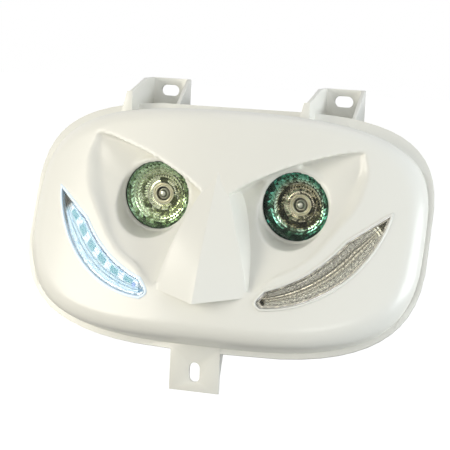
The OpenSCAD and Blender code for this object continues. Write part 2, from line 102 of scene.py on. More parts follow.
def dome_y(x, z):
    """Depth of the dome's surface at x and z of the object's frame."""
    return face_y + ((z - face_z) * math.sin(lean) - dome_h(x)) / math.cos(lean)


def power(a, p):
    return math.copysign(abs(a) ** p, a)


def outline(wide, top, bottom, count=288):
    """Squared-off oval of the mask, seen square on."""
    points = []
    for i in range(count):
        turn = 2 * math.pi * (i + 0.5) / count
        p = upper_power if math.sin(turn) >= 0 else lower_power
        reach = top if math.sin(turn) >= 0 else bottom
        points.append((wide * power(math.cos(turn), 2 / p), reach * power(math.sin(turn), 2 / p)))
    return points


print("mask:", 2 * half_w, "m wide, lamps", 2 * lamp_x, "m apart")

# %% [markdown]
# Most pieces are lofts through closed rings of points. A flat grid is made, each of its rows is laid
# on one ring, and the seam is merged. A solid then has its ends filled, while a loop has none: its
# last ring joins the first one again.

# %% Lofts through rings
def new_object(name, bm):
    mesh = bpy.data.meshes.new(name)
    bm.to_mesh(mesh)
    bm.free()
    piece = bpy.data.objects.new(name, mesh)
    bpy.context.scene.collection.objects.link(piece)
    return piece


def ring_grid(rings, rows):
    """Grid of this many rows, wrapped round the rings."""
    around = len(rings[0])
    bm = bmesh.new()
    grid = bmesh.ops.create_grid(bm, x_segments=around, y_segments=rows, size=1)["verts"]
    grid.sort(key=lambda v: (round(v.co.y, 6), v.co.x))
    for place, vert in enumerate(grid):
        row, column = divmod(place, around + 1)
        vert.co = rings[row % len(rings)][column % around]
    bmesh.ops.remove_doubles(bm, verts=bm.verts, dist=1e-7)
    return bm


def ring_solid(name, rings):
    """Solid through closed rings of points, with both ends filled."""
    bm = ring_grid(rings, len(rings) - 1)
    bmesh.ops.holes_fill(bm, edges=[e for e in bm.edges if e.is_boundary], sides=0)
    bmesh.ops.triangulate(bm, faces=[f for f in bm.faces if len(f.verts) > 4])
    bmesh.ops.recalc_face_normals(bm, faces=bm.faces)
    return new_object(name, bm)


def ring_loop(rings):
    """Closed loop of rings, the last of which joins the first again."""
    bm = ring_grid(rings, len(rings))
    bmesh.ops.recalc_face_normals(bm, faces=bm.faces)
    return bm


def lamp_ring(side, r, depth, count=96, shift=0.0, x=0.0, z=0.0):
    """Ring of points round a lamp's axis, depth behind the lamp's face."""
    mid_x, mid_z = side * lamp_x + x, lamp_z + z
    turns = [2 * math.pi * (i + shift) / count for i in range(count)]
    return [Vector((mid_x + r * math.cos(a), lamp_y + depth, mid_z + r * math.sin(a))) for a in turns]


def drum(name, front_r, back_r, front, rear, side, x=0.0, z=0.0, count=96):
    """Round solid along a lamp's axis, from front to rear behind the lamp's face."""
    ends = ((front_r, front), (back_r, rear))
    return ring_solid(name, [lamp_ring(side, r, depth, count, 0.0, x, z) for r, depth in ends])


print("lamp tubes:", 2 * round(tube_r, 4), "m outside,", 2 * round(flare_r, 4), "m at the mouth")

# %% [markdown]
# Holes and joints are booleans between closed solids. Each is applied at once and its tool is thrown
# away, so no modifier is left on a finished piece.

# %% Booleans
def apply_modifiers(body):
    made = bpy.data.meshes.new_from_object(body.evaluated_get(bpy.context.evaluated_depsgraph_get()))
    body.modifiers.clear()
    body.data = made


def combine(body, tool, operation):
    """Apply one boolean to body and remove the tool."""
    step = body.modifiers.new("shape", "BOOLEAN")
    step.object, step.operation, step.solver = tool, operation, "MANIFOLD"
    apply_modifiers(body)
    bpy.data.objects.remove(tool)


# %% [markdown]
# The mask itself is one white moulding, a shallow dome with a rounded edge. Here the dome is lofted:
# closed rings of points run from the open back over the round edge to the middle of the face.
# Rings follow the outline exactly, which a scaled sphere couldn't do.

# %% Dome
edge_steps, face_steps, least_side = 10, 26, 0.0006


def dome_ring(inset, shrink, base, radius, scaled=1.0):
    """Ring on the dome: inset goes over the round edge, scaled goes on over the face."""
    ring = []
    for px, pv in outline(half_w - shrink - inset, top_v - shrink - inset, bottom_v - shrink - inset):
        x = px * scaled
        r = min(radius, dome_h(x) - shrink - base - least_side)
        drop = r * (1 - math.sqrt(1 - (1 - min(1, inset / radius)) ** 2))
        ring.append(on_face(x, pv * scaled, dome_h(x) - shrink - drop))
    return ring


def dome_solid(name, shrink, base):
    """The whole dome, or a smaller one by shrink, down to the height base."""
    radius = edge_r - shrink
    rings = [[on_face(x, v, base) for x, v in outline(half_w - shrink, top_v - shrink, bottom_v - shrink)]]
    for k in range(edge_steps + 1):
        inset = (1 - math.cos(math.pi * k / (2 * edge_steps))) * radius
        rings.append(dome_ring(inset, shrink, base, radius))
    rings += [dome_ring(radius, shrink, base, radius, 1 - k / face_steps) for k in range(1, face_steps)]
    return ring_solid(name, rings)


print("dome:", round(dome_h(0) + rim_d, 4), "m high in the middle")

# %% [markdown]
# Rims and outlines are drawn with two kinds of line: an arc that bows off a straight chord, and a
# smooth curve through a few measured points.

# %% Arcs and curves
def bow(a, b, height, t):
    """Point of an arc through a and b at the share t, bowed by height."""
    chord = (b - a).length
    r = (chord**2 / 4 + height**2) / (2 * height)
    half = math.asin(chord / 2 / r)
    out = Vector((b.y - a.y, a.x - b.x)) / chord
    middle = (a + b) / 2 + out * (r - height)
    turn = half * (2 * t - 1)
    return middle - out * r * math.cos(turn) + (b - a) / chord * r * math.sin(turn)


def through(points, per):
    """Smooth open curve through points, per steps between two of them."""
    path = []
    for k in range(len(points) - 1):
        a, b, c, d = (Vector(points[min(max(k + j, 0), len(points) - 1)]) for j in (-1, 0, 1, 2))
        for i in range(per):
            t = i / per
            curve = 2 * b + (c - a) * t
            curve = curve + (2 * a - 5 * b + 4 * c - d) * t**2 + (3 * b - a - 3 * c + d) * t**3
            path.append(0.5 * curve)
    return path + [Vector(points[-1])]


print("middle of a 100 mm chord bowed by 5 mm:", bow(Vector((0, 0)), Vector((0.1, 0)), 0.005, 0.5))

# %% [markdown]
# Each eye is a recess with a sharp brow above and soft sides. Its rim is a bowed brow line and a
# smooth curve below, its floor slopes back under the brow, and a flared tube mouth opens in it.
# The lower points give x and height from the lamp's axis and how far the wall runs in, in mm.

# %% Eye recess
brow_in, brow_tip, brow_rise, tip_run = Vector((0.010, 0.0075)), Vector((0.101, 0.0427)), 0.0055, 0.006
lower_rim = [
    (107, 33, 12), (108, 22, 16), (105, 10, 16), (99, 0, 12), (92, -9, 9), (83.5, -20, 6),
    (75, -30, 4), (64, -39, 3), (50, -46.5, 3), (36, -57, 1), (24, -44, 0), (15, -15, 0),
]
eye_middle = Vector((0.052, -0.004))
floor_d, floor_slope, floor_bend, bend_run, floor_fall = 0.0052, 0.5, 0.25, 0.012, 0.1
wall_steps, floor_steps, tool_reach, least_depth, rim_cut = 9, 14, 0.04, 0.0003, 0.0004
brow_line = [bow(brow_in, brow_tip, brow_rise, i / 40) for i in range(41)]
lower_points = [(brow_tip.x, brow_tip.y, tip_run)]
lower_points += [(x / 1000, h / 1000, run / 1000) for x, h, run in lower_rim]
lower_points += [(brow_in.x, brow_in.y, 0)]
eye_rim = [Vector((p.x, p.y, 0)) for p in brow_line] + through(lower_points, 5)[1:-1]


def floor_y(x, h):
    """Depth of the recess's floor, at x across and h above the lamp's axis."""
    bend = floor_bend * (math.hypot(h, bend_run) - bend_run)
    return lamp_y - floor_d + floor_slope * h - bend - floor_fall * (x - lamp_x)


def eye_space(name, side, grow):
    """Space of the recess, from in front of the face down its walls to its floor, grown by grow."""
    front, wall_rings = [], [[] for _ in range(wall_steps)]
    floor_rings = [[] for _ in range(floor_steps)]
    for q in eye_rim:
        p = Vector((q.x, q.y))
        inward = (eye_middle - p).normalized()
        start = p - inward * grow
        end = start + inward * q.z
        surface = dome_y(p.x, p.y + lamp_z)
        deep = max(floor_y(end.x, end.y), surface + least_depth) + grow
        front.append(Vector((side * start.x, surface - tool_reach, start.y + lamp_z)))
        for k, ring in enumerate(wall_rings):
            t = k / (wall_steps - 1)
            m = start + inward * q.z * t
            soft = t * t * (3 - 2 * t)
            y = (dome_y(m.x, m.y + lamp_z) - rim_cut) * (1 - soft) + deep * soft
            ring.append(Vector((side * m.x, y, m.y + lamp_z)))
        lift = deep - grow - floor_y(end.x, end.y)
        for k, ring in enumerate(floor_rings):
            s = 1 - (k + 1) / (floor_steps + 1)
            m = eye_middle + (end - eye_middle) * s
            share = max(0, (s - 0.6) / 0.4)
            ring.append(Vector((side * m.x, floor_y(m.x, m.y) + grow + lift * share**1.5, m.y + lamp_z)))
    return ring_solid(name, [front] + wall_rings + floor_rings)


print("eye rim:", len(eye_rim), "points")

# %% [markdown]
# The nose is a wedge with a ridge, two flat faces and drafted side walls. Its sections are
# interpolated smoothly between five stations, each with its place down the face, the height of its
# ridge, its half width and the height of its edge.

# %% Nose
side_steps, corner_rise, draft = 8, 0.011, 0.25


def nose_stations(thin):
    return [
        (0.031 - thin, crown_h - thin + 0.0001, 0.0006, crown_h - thin - 0.0004),
        (0.016, 0.031 - thin * 1.2, 0.010 - thin * 0.8, 0.0286 - thin),
        (-0.011, 0.036 - thin * 1.2, 0.0205 - thin, 0.0315 - thin),
        (-0.035, 0.0395 - thin * 1.2, 0.0285 - thin, 0.030 - thin),
        (-0.0665 + thin * 1.4, 0.0417 - thin * 1.5, 0.0345 - thin, 0.0265 - thin),
    ]


def nose_solid(name, thin):
    """The nose, or a thinner one for the space behind it."""
    stations = nose_stations(thin)
    path = through(stations, 8) if thin == 0 else [Vector(s) for s in stations]
    root, rings = -rim_d + 0.003, []
    for k, (v, ridge, wide, edge) in enumerate(path):
        rest = max(0, (k / (len(path) - 1) - 0.75) / 0.25)
        corner_up = (corner_rise - thin * 0.6) * rest
        half = [(wide + (edge - root) * draft, root, 1.0)]
        for i in range(side_steps):
            t = i / side_steps
            half.append((wide * (1 - t), edge + (ridge - edge) * t, 1 - t))
        one_side = [on_face(x, v + corner_up * share, w) for x, w, share in half]
        other = [on_face(-x, v + corner_up * share, w) for x, w, share in reversed(half)]
        rings.append(one_side + [on_face(0, v, ridge)] + other)
    under = [(x, v + corner_up, min(w, edge)) for x, w, _ in half]
    mirrored = [(-x, low, w) for x, low, w in reversed(under)]
    rings.append([on_face(*point) for point in under + [(0, v + corner_up, edge)] + mirrored])
    return ring_solid(name, rings)


print("nose: from", nose_stations(0)[0][0], "to", nose_stations(0)[-1][0], "m along the lean")

# %% [markdown]
# Each cheek light sits in a window shaped like a curved tooth: two bowed edges, a sharp upper tip
# and a blunt lower end. The outline is kept as functions of t, because the window, its lip and the
# light bar under the lens all follow it at different distances.

# %% Cheek light outline
led_tip, led_end = Vector((0.1225, 0)), Vector((0.0445, -0.0655))
led_inner_end = led_end + 0.011 * Vector((0.18, 0.984))
led_blunt = led_end + Vector((-0.0035, 0.0035))
led_bend = led_tip - 0.0315 * Vector((0.81, 0.587))
outer_bow, inner_bow, window_gap = -0.018, 0.005, 0.0003


def led_outer(t):
    """Outer edge, from the lower end to the tip."""
    return bow(led_end, led_tip, outer_bow, t)


def led_inner(t):
    """Inner edge from the tip: straight for a third, then bowed."""
    if t < 1 / 3:
        return led_tip.lerp(led_bend, t * 3)
    return bow(led_bend, led_inner_end, inner_bow, (t - 1 / 3) * 1.5)


def signed_area(points):
    return sum(points[i - 1].x * p.y - p.x * points[i - 1].y for i, p in enumerate(points)) / 2


def led_outline(grow):
    """The window's outline, moved outwards by grow, with its corners mitred."""
    points = [led_outer(i / 40) for i in range(41)] + [led_inner(i / 36) for i in range(1, 37)]
    points += through([led_inner_end, led_blunt, led_end], 4)[1:-1]
    sign = 1 if signed_area(points) > 0 else -1
    grown = []
    for i, p in enumerate(points):
        a = (p - points[i - 1]).normalized()
        b = (points[(i + 1) % len(points)] - p).normalized()
        edge = Vector((a.y, -a.x))
        out = edge + Vector((b.y, -b.x))
        out = out.normalized() if out.length > 1e-6 else edge
        grown.append(p + out * sign * grow * min(2.0, 1 / max(0.3, out.dot(edge))))
    return grown


def led_prism(name, side, grow, front=-0.122, rear=-0.042):
    """Straight cutter with the window's outline."""
    rings = [[Vector((side * p.x, y, p.y + lamp_z)) for p in led_outline(grow)] for y in (front, rear)]
    return ring_solid(name, rings)


print("light window:", round((led_tip - led_end).length, 4), "m long")

# %% [markdown]
# The plain face is made as it would be moulded: the dome, minus the eye recesses, minus the hollow
# behind it. Then the lamp tubes with their screw bosses are added and bored. Booleans suit this well,
# since each tool is a simple closed body and the wall comes out evenly thick.

# %% Build the face
shoulder_r = bore_r - 0.0015
boss_turns, boss_ring, boss_r, boss_d = (30, 150, 270), 0.033, 0.0036, 0.012


def mouth_tool(side, grow=0.0, rear=0.00001):
    """Flared space in front of a lamp."""
    return drum("mouth_tool", flare_r + grow, bore_r + grow, -mouth_d, rear, side)


def inside_space():
    """Hollow behind the face: the dome grown inwards, less the backs of the recesses and mouths."""
    space = dome_solid("hollow_tool", wall, -rim_d - 0.001)
    for side in sides:
        combine(space, eye_space("eye_tool", side, wall), "DIFFERENCE")
        combine(space, mouth_tool(side, tube_wall, 0), "DIFFERENCE")
    return space


face = dome_solid("face_skin", 0, -rim_d)
for side in sides:
    combine(face, eye_space("eye_tool", side, 0), "DIFFERENCE")
combine(face, inside_space(), "DIFFERENCE")
for side in sides:
    combine(face, drum("tube_tool", tube_r, tube_r, 0, tube_back, side), "UNION")
    combine(face, mouth_tool(side), "DIFFERENCE")
    combine(face, drum("seat_tool", shoulder_r, shoulder_r, -0.001, 0.003, side), "DIFFERENCE")
    combine(face, drum("bore_tool", bore_r, bore_r, 0.002, tube_back + 0.001, side), "DIFFERENCE")
    for turn in boss_turns:
        bx, bz = boss_ring * math.cos(math.radians(turn)), -boss_ring * math.sin(math.radians(turn))
        boss = drum("boss_tool", boss_r, boss_r, tube_back - boss_d, tube_back, side, bx, bz, 32)
        combine(face, boss, "UNION")
print("face before smoothing:", len(face.data.polygons), "faces")

# %% [markdown]
# A moulding has no razor edges: the face is remeshed finely and smoothed a little, which rounds
# every edge by about a millimetre. The light windows are cut crisply after that.

# %% Soften the face
voxel, relax_steps = 0.00138, 3
soften = face.modifiers.new("even", "REMESH")
soften.mode, soften.voxel_size = "VOXEL", voxel
apply_modifiers(face)
relax = face.modifiers.new("relax", "SMOOTH")
relax.factor, relax.iterations = 0.5, relax_steps
apply_modifiers(face)
print("face after smoothing:", len(face.data.polygons), "faces")

# %% [markdown]
# The nose keeps crisper edges than the rest of the moulding, so it is added after the smoothing.
# Its long edges get a small round first, and the space behind it is cut out again.

# %% Add the nose
nose_round = 0.0007


def round_edges(bm, least, width, segments):
    """Small round along the edges whose faces meet at more than least degrees."""
    sharp = [e for e in bm.edges if len(e.link_faces) == 2 and e.calc_face_angle(0) > math.radians(least)]
    bmesh.ops.bevel(
        bm, geom=sharp, offset=width, offset_type="OFFSET", affect="EDGES",
        segments=segments, profile=0.5, material=-1, clamp_overlap=True,
    )


nose = nose_solid("nose_block", 0)
bm = bmesh.new()
bm.from_mesh(nose.data)
round_edges(bm, 22, nose_round, 3)
bm.to_mesh(nose.data)
bm.free()
combine(nose, inside_space(), "DIFFERENCE")
nose_space = nose_solid("nose_space", wall)
for side in sides:
    combine(nose, mouth_tool(side), "DIFFERENCE")
    combine(nose, drum("bore_tool", shoulder_r, shoulder_r, -0.001, tube_back, side), "DIFFERENCE")
    combine(nose_space, mouth_tool(side, tube_wall, 0), "DIFFERENCE")
    combine(nose_space, drum("tube_tool", tube_r, tube_r, -0.0001, tube_back, side), "DIFFERENCE")
combine(face, nose, "UNION")
combine(face, nose_space, "DIFFERENCE")
print("face with nose:", len(face.data.polygons), "faces")

# %% [markdown]
# Now the windows are cut. The face is shaded smooth, except where its faces meet at a real edge.

# %% Light windows and shading
def smooth_faces(mesh, angle):
    """Smooth shading that stops at edges sharper than angle degrees."""
    mesh.polygons.foreach_set("use_smooth", [True] * len(mesh.polygons))
    mesh.set_sharp_from_angle(angle=math.radians(angle))
    mesh.update()


for side in sides:
    combine(face, led_prism("window_tool", side, window_gap), "DIFFERENCE")
smooth_faces(face.data, 42)
print("finished face:", sum(len(p.vertices) - 2 for p in face.data.polygons), "triangles")

# %% [markdown]
# The flange, the brackets and the bottom tab stay exactly as constructed. A copy of the moulding
# keeps only what lies outside the dome, and its sharp edges get a small round. A CAD part's mesh is
# loose triangles, so the copy is merged before it is cut.

# %% Flange, brackets and tab
dome_inset, cut_reach, plate_round = 0.0002, 0.06, 0.0004
shell_node = bpy.data.objects["mask_shell"]
rear = shell_node.copy()
rear.data = shell_node.data.copy()
rear.name = "flange_and_brackets"
bpy.context.scene.collection.objects.link(rear)
bm = bmesh.new()
bm.from_mesh(rear.data)
bmesh.ops.remove_doubles(bm, verts=bm.verts, dist=1e-6)
bm.to_mesh(rear.data)
bm.free()
dome_line = outline(half_w - dome_inset, top_v - dome_inset, bottom_v - dome_inset)
keep_out = [[on_face(x, v, w) for x, v in dome_line] for w in (-cut_reach, cut_reach)]
combine(rear, ring_solid("dome_tool", keep_out), "DIFFERENCE")
bm = bmesh.new()
bm.from_mesh(rear.data)
bmesh.ops.dissolve_limit(bm, angle_limit=math.radians(3), verts=bm.verts, edges=bm.edges)
round_edges(bm, 50, plate_round, 2)
bm.to_mesh(rear.data)
bm.free()
smooth_faces(rear.data, 35)
print("flange and brackets:", len(rear.data.polygons), "faces")

# %% [markdown]
# A thin raised bead runs round each light window and hides the joint with the lens. Its section has
# a few corners and is carried round the outline as a closed loop of rings, so it has no ends.

# %% Raised lips round the light windows
lip_reach, lip_foot = 0.0019, 0.003


def window_lip(side):
    inner, outer = led_outline(window_gap), led_outline(lip_reach)
    middle = [(a + b) / 2 for a, b in zip(inner, outer)]
    section = [
        (inner, lip_foot), (inner, -0.0004), (inner, -0.0007), (middle, -0.001),
        (outer, -0.0006), (outer, -0.0001), (outer, lip_foot),
    ]
    rings = []
    for points, depth in section:
        ring = [(side * p.x, dome_y(p.x, p.y + lamp_z) + depth, p.y + lamp_z) for p in points]
        rings.append([Vector(point) for point in ring])
    bm = ring_loop(rings)
    for f in bm.faces:
        f.smooth = True
    return new_object(sides[side] + "window_lip", bm)


lips = [window_lip(side) for side in sides]
print("lips:", [len(p.data.polygons) for p in lips])

# %% [markdown]
# The lamp's bowl is pressed glass with rows of small facets, which is what makes it sparkle. Its
# wall is a loop of rings: rows of facets inside, each row turned by half a facet, and a plain round
# back. A table of radius and depth draws it better than a lathe, because the rows have to turn.

# %% Shape of the lamp bowls
seat, bowl_d, neck_r, mouth_r, bowl_wall, belly = 0.0045, 0.022, 0.008, 0.0243, 0.0014, 0.0143
facet_rows, facets_round, facet_d, facet_power = 8, 42, 0.0105, 1.6
rim_step = [(0.0236, 0.0022), (0.0253, 0.0022), (0.0253, 0.0003), (0.025, 0)]


def bowl_profile():
    """Radius and depth along the wall: the facets from mouth to neck, then the back and the rim."""
    profile = []
    for k in range(facet_rows + 1):
        r = mouth_r - (mouth_r - neck_r) * k / facet_rows
        profile.append((r, facet_d * (1 - ((r - neck_r) / (mouth_r - neck_r)) ** facet_power)))
    profile.append((neck_r, bowl_d + bowl_wall))
    for k in range(8, 0, -1):
        profile.append((neck_r + bowl_wall + belly * math.sqrt(1 - k / 8), bowl_d * k / 8 + bowl_wall))
    return profile + rim_step


def bowl_rings(side):
    rings = []
    for k, (r, z) in enumerate(bowl_profile()):
        shift = k % 2 / 2 if k <= facet_rows else 0.0
        rings.append(lamp_ring(side, r, seat + z, facets_round, shift))
    return rings


print("bowl:", len(bowl_profile()), "rings of", facets_round)

# %% [markdown]
# Every facet is poked into a shallow pyramid, and each of its four small faces keeps a tone, which
# the mirror coating reads later. The tone is even noise plus painted glints: how far the small face
# tilts to a fixed light, and a drift that brightens one side of each bowl. The left lamp's neck also shows
# two dark notches.

# %% Facetted lamp bowls
# Painted glint: the fixed light that the small faces tilt to, and how much the tilt and the drift brighten
# them.
facet_rise, glint_light = 0.0004, Vector((-0.5, 0, 0.85))
rim_tone, tone_spread, glint_drift, tone_base, glint_tilt = 0.7, 0.7, 0.15, 0.12, 0.4
notch_turns, notch_half, notch_r = (88, -31), 20, 0.0125


def even_noise(number):
    """Value between 0 and 1 that looks random and is always the same for a number."""
    return math.sin(number * 12.9898 + 4.1) * 43758.5453 % 1


def tone_facets(bm, tone, side):
    """Give every facet inside the bowl a random tone plus a painted glint on one side; return these facets.
    """
    axis, inner = Vector((side * lamp_x, 0, lamp_z)), []
    for facet in bm.faces:
        middle = facet.calc_center_median()
        away = Vector((middle.x - axis.x, 0, middle.z - axis.z))
        facet[tone] = rim_tone
        in_front = away.length < mouth_r and middle.y < lamp_y + seat + facet_d
        if in_front and facet.normal.dot(away) < 0:
            inner.append(facet)
            facet[tone] = tone_spread * even_noise(len(inner)) + glint_drift * side * away.x / mouth_r
            turn = math.degrees(math.atan2(away.z, away.x))
            in_notch = any(abs(turn - at) < notch_half for at in notch_turns)
            if side < 0 and away.length < notch_r and in_notch:
                facet[tone] = -1
    return inner


def bowl(side):
    bm = ring_loop(bowl_rings(side))
    tone = bm.faces.layers.float.new("facet_tone")
    inner = tone_facets(bm, tone, side)
    centres = [facet.calc_center_median() for facet in inner]
    poked = bmesh.ops.poke(
        bm, faces=inner, offset=facet_rise, center_mode="MEAN_WEIGHTED", use_relative_offset=False,
    )
    for number, facet in enumerate(poked["faces"]):
        tilt = (facet.calc_center_median() - centres[number // 4]).normalized().dot(glint_light)
        facet[tone] = min(1, max(0, facet[tone] + tone_base + glint_tilt * tilt))
    return new_object(sides[side] + "lamp_bowl", bm)


bowls = {side: bowl(side) for side in sides}
print("bowls:", [len(b.data.polygons) for b in bowls.values()])

# %% [markdown]
# Round the burner's foot the bowl ends in a stepped collar, which shows as rings through the glass.
# It is turned metal, so its section is a list of radius and depth that goes once round the axis.

# %% Burner collars
collar_section = [
    (0.0051, 0.0206), (0.0051, 0.0104), (0.0056, 0.0096), (0.0061, 0.0102), (0.0064, 0.0116),
    (0.0068, 0.0116), (0.0071, 0.0104), (0.0076, 0.0101), (0.0079, 0.0108), (0.0079, 0.0206),
]


def collar(side):
    rings = [lamp_ring(side, r, seat + z, 64) for r, z in collar_section]
    piece = new_object(sides[side] + "burner_collar", ring_loop(rings))
    piece.data.polygons.foreach_set("use_smooth", [True] * len(piece.data.polygons))
    return piece


collars = {side: collar(side) for side in sides}
print("collars:", [len(c.data.polygons) for c in collars.values()])

# %% [markdown]
# Under each lens lies a moulded light bar with long ribs and small prisms, which spreads the light
# of the diodes. It is a grid that follows the strip. Its UV map runs along the strip (u) and across
# it (v), so that the finish can tell where along the strip it is.

# %% Light bars
bar_along, bar_across, bar_start, bar_stop = 110, 18, 0.05, 0.985
bar_margin, bar_depth, bar_wall = 0.0012, 0.00275, 0.0007
rib_h, step_h, prism_h = 0.00015, 0.0001, 0.0001


def light_bar(side):
    bm = bmesh.new()
    grid = bmesh.ops.create_grid(bm, x_segments=bar_along, y_segments=bar_across, size=1)["verts"]
    grid.sort(key=lambda v: (round(v.co.y, 6), v.co.x))
    strip = {}
    for place, vert in enumerate(grid):
        row, column = divmod(place, bar_along + 1)
        t = bar_start + (bar_stop - bar_start) * column / bar_along
        share = 2 * row / bar_across - 1
        inner, outer = led_inner(t), led_outer(1 - t)
        middle, half = (inner + outer) / 2, (outer - inner) / 2
        p = middle + half.normalized() * max(0.0003, half.length - bar_margin) * share
        rib = rib_h * math.cos(share * math.pi * 5) + (step_h if 0.115 < t < 0.14 else 0)
        vert.co = (side * p.x, dome_y(p.x, p.y + lamp_z) + bar_depth - rib, p.y + lamp_z)
        strip[vert] = (t, (share + 1) / 2)
    bmesh.ops.recalc_face_normals(bm, faces=bm.faces)
    if sum(f.normal.y for f in bm.faces) > 0:
        bmesh.ops.reverse_faces(bm, faces=bm.faces)
    uv = bm.loops.layers.uv.new("strip")
    for f in bm.faces:
        for corner in f.loops:
            corner[uv].uv = strip[corner.vert]
    bmesh.ops.poke(
        bm, faces=bm.faces, offset=prism_h, center_mode="MEAN_WEIGHTED", use_relative_offset=False,
    )
    bar = new_object(sides[side] + "light_bar", bm)
    thick = bar.modifiers.new("thick", "SOLIDIFY")
    thick.thickness, thick.offset = bar_wall, -1
    apply_modifiers(bar)
    return bar


bars = {side: light_bar(side) for side in sides}
print("light bars:", [len(b.data.polygons) for b in bars.values()])

# %% [markdown]
# Each finish is a node material on Object coordinates, so it stays put on the part. Four short
# helpers save repeating the same nodes: a basic finish, a fine grain, a colour ramp, and a finish
# with a grain whose noise can also vary its colour or its roughness.

# %% Finish helpers
def finish(name, colour, rough, **sockets):
    """New material, with its nodes, its links and its one shader."""
    mat = bpy.data.materials.new(name)
    mat.use_nodes = True
    shader = mat.node_tree.nodes["Principled BSDF"]
    shader.inputs["Base Color"].default_value = (*colour, 1)
    shader.inputs["Roughness"].default_value = rough
    for key, value in sockets.items():
        shader.inputs[key.replace("_", " ")].default_value = value
    return mat, mat.node_tree.nodes, mat.node_tree.links, shader


def grain(nodes, links, shader, scale, strength, height, detail):
    """Fine bump from noise on Object coordinates. The noise comes back for other uses."""
    place = nodes.new("ShaderNodeTexCoord")
    noise = nodes.new("ShaderNodeTexNoise")
    noise.inputs["Scale"].default_value = scale
    noise.inputs["Detail"].default_value = detail
    bump = nodes.new("ShaderNodeBump")
    bump.inputs["Strength"].default_value = strength
    bump.inputs["Distance"].default_value = height
    links.new(place.outputs["Object"], noise.inputs["Vector"])
    links.new(noise.outputs["Fac"], bump.inputs["Height"])
    links.new(bump.outputs["Normal"], shader.inputs["Normal"])
    return noise.outputs["Fac"]


def colour_from(nodes, links, source, target, stops):
    """Colour ramp between a value and a socket."""
    ramp = nodes.new("ShaderNodeValToRGB")
    while len(ramp.color_ramp.elements) < len(stops):
        ramp.color_ramp.elements.new(0.5)
    for element, (at, colour) in zip(ramp.color_ramp.elements, stops):
        element.position = at
        element.color = (*colour, 1)
    links.new(source, ramp.inputs["Fac"])
    links.new(ramp.outputs["Color"], target)


def grained(name, colour, rough, bump, patches=None, **sockets):
    """Finish with a grain. bump is its scale, strength, height and detail."""
    mat, nodes, links, shader = finish(name, colour, rough, **sockets)
    noise = grain(nodes, links, shader, *bump)
    for socket, stops in (patches or {}).items():
        colour_from(nodes, links, noise, shader.inputs[socket], stops)
    return mat


print("materials that the CAD brings:", len(bpy.data.materials))

# %% [markdown]
# The mask is white moulded plastic with a low gloss. A thin coat gives the narrow bright band on the
# right edge, and a very weak, wide bump keeps large faces from looking like perfect planes.

# %% White gloss plastic
mould_bump = (9, 0.18, 0.0006, 1)
white_patches = {"Base Color": [(0.3, (0.855, 0.85, 0.785)), (0.7, (0.875, 0.872, 0.815))]}
shell_white = grained(
    "shell_white_gloss", (0.86, 0.855, 0.79), 0.3, mould_bump, white_patches,
    Coat_Weight=0.2, Coat_Roughness=0.12,
)
print("shell finish:", shell_white.name)

# %% [markdown]
# Small parts get plain, honest finishes: matt rubber, porous lamp ceramic, textured black plastic
# and grained metals, the screws with a roughness that varies a little, because worn metal is never evenly
# smooth.

# %% Seals, ceramic, plastics and metals
ceramic_patches = {"Base Color": [(0.35, (0.68, 0.65, 0.58)), (0.6, (0.8, 0.77, 0.7))]}
worn_patches = {"Roughness": [(0.3, (0.24, 0.24, 0.24)), (0.7, (0.42, 0.42, 0.42))]}
seal_black = grained("seal_rubber", (0.02, 0.02, 0.02), 0.6, (900, 0.3, 0.0002, 3))
ceramic = grained("ceramic_steatite", (0.78, 0.75, 0.68), 0.45, (500, 0.25, 0.0002, 3), ceramic_patches)
retainer_black = grained("retainer_plastic", (0.025, 0.025, 0.028), 0.42, (1400, 0.35, 0.0002, 3))
pin_metal = grained("contact_nickel", (0.62, 0.6, 0.55), 0.28, (1200, 0.15, 0.0001, 3), Metallic=1.0)
screw_zinc = grained(
    "screw_zinc", (0.6, 0.61, 0.63), 0.32, (800, 0.2, 0.0001, 3), worn_patches, Metallic=1.0,
)
collar_metal = grained("collar_bright", (0.86, 0.8, 0.62), 0.3, (900, 0.2, 0.0001, 3), Metallic=1.0)
print("finishes so far:", len(bpy.data.materials))

# %% [markdown]
# The lamp's front glass is clear, so full transmission with the index of glass does the work. Its
# slight bump bends the facets behind it by a hair, as pressed glass does. The cheek lights' lenses
# are thin clear plastic, which bends what is behind it less.

# %% Clear glass and lenses
lamp_glass = grained(
    "lamp_front_glass", (0.95, 0.98, 0.97), 0.02, (60, 0.04, 0.0002, 3),
    Transmission_Weight=1.0, IOR=1.45,
)
lens_bump, clear_plastic = (500, 0.02, 0.0002, 3), {"Transmission_Weight": 1.0, "IOR": 1.2}
lens_clear = grained("light_lens_clear", (0.97, 0.98, 1.0), 0.04, lens_bump, **clear_plastic)
# The lit lens is a copy tinted a little bluer: painted light from the diodes behind it.
lens_lit = grained("light_lens_lit", (0.95, 0.98, 1.0), 0.04, lens_bump, **clear_plastic)
print("clear finishes:", [m.name for m in (lamp_glass, lens_clear, lens_lit)])

# %% [markdown]
# The burner's end shows dark and pale rings. The reflector's colour shifts from its neck to its rim,
# warm inside and green outside, partly its coating's own colour and partly painted reflection. Both use the
# distance from the lamp's axis to pick the colour, and on the reflector the tone stored on each facet, random
# with painted glints, darkens or brightens it.

# %% Burner
coat_r = 0.0255


def from_axis(nodes, links, side):
    """Distance from the lamp's axis as a share of its rim radius."""
    place = nodes.new("ShaderNodeTexCoord")
    centre = nodes.new("ShaderNodeMapping")
    centre.inputs["Location"].default_value = (-side * lamp_x, 0, -lamp_z)
    flatten = nodes.new("ShaderNodeVectorMath")
    flatten.operation = "MULTIPLY"
    flatten.inputs[1].default_value = (1 / coat_r, 0, 1 / coat_r)
    length = nodes.new("ShaderNodeVectorMath")
    length.operation = "LENGTH"
    links.new(place.outputs["Object"], centre.inputs["Vector"])
    links.new(centre.outputs["Vector"], flatten.inputs[0])
    links.new(flatten.outputs[0], length.inputs[0])
    return length.outputs["Value"]


